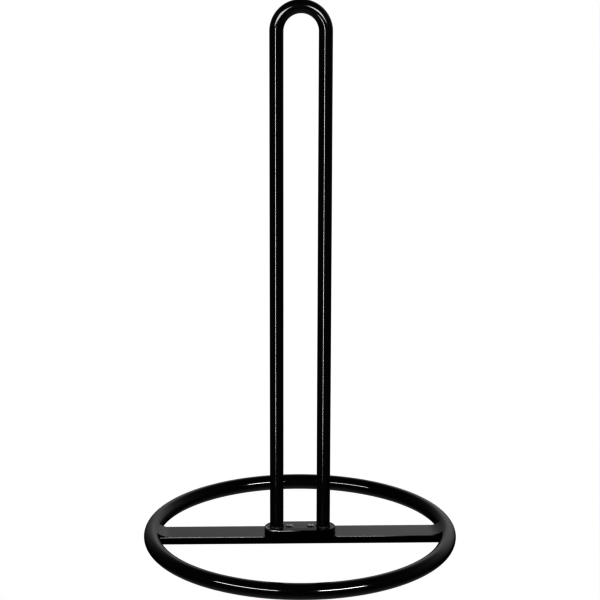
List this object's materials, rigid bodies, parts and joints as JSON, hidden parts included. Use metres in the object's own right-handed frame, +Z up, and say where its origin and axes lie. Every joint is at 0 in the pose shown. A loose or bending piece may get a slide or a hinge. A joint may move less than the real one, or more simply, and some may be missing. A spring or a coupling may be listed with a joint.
{
  "type": "paper towel holder",
  "caption": "Countertop paper towel holder: an upright hairpin loop welded to an oval plate, which is screwed to a flat bar across a round ring base.",
  "frame": {"origin": "centre of the base ring on the counter, at the bottom of the part", "axes": "+Z up along the upright loop, +X along the cross bar, +Y towards the back"},
  "size_m": [0.1906, 0.1906, 0.3294],
  "materials": {
    "black_coat": "smooth gloss black baked coating on steel",
    "black_screw": "black plated steel, slightly less glossy than the coating"
  },
  "bodies": {
    "root": {"base_ring": "black_coat", "cross_bar": "black_coat", "bar_weld_left": "black_coat", "bar_weld_right": "black_coat", "mounting_plate": "black_coat", "upright_loop": "black_coat", "leg_weld_left": "black_coat", "leg_weld_right": "black_coat", "plate_screw_left": "black_screw", "plate_screw_right": "black_screw"}
  },
  "joints": []
}
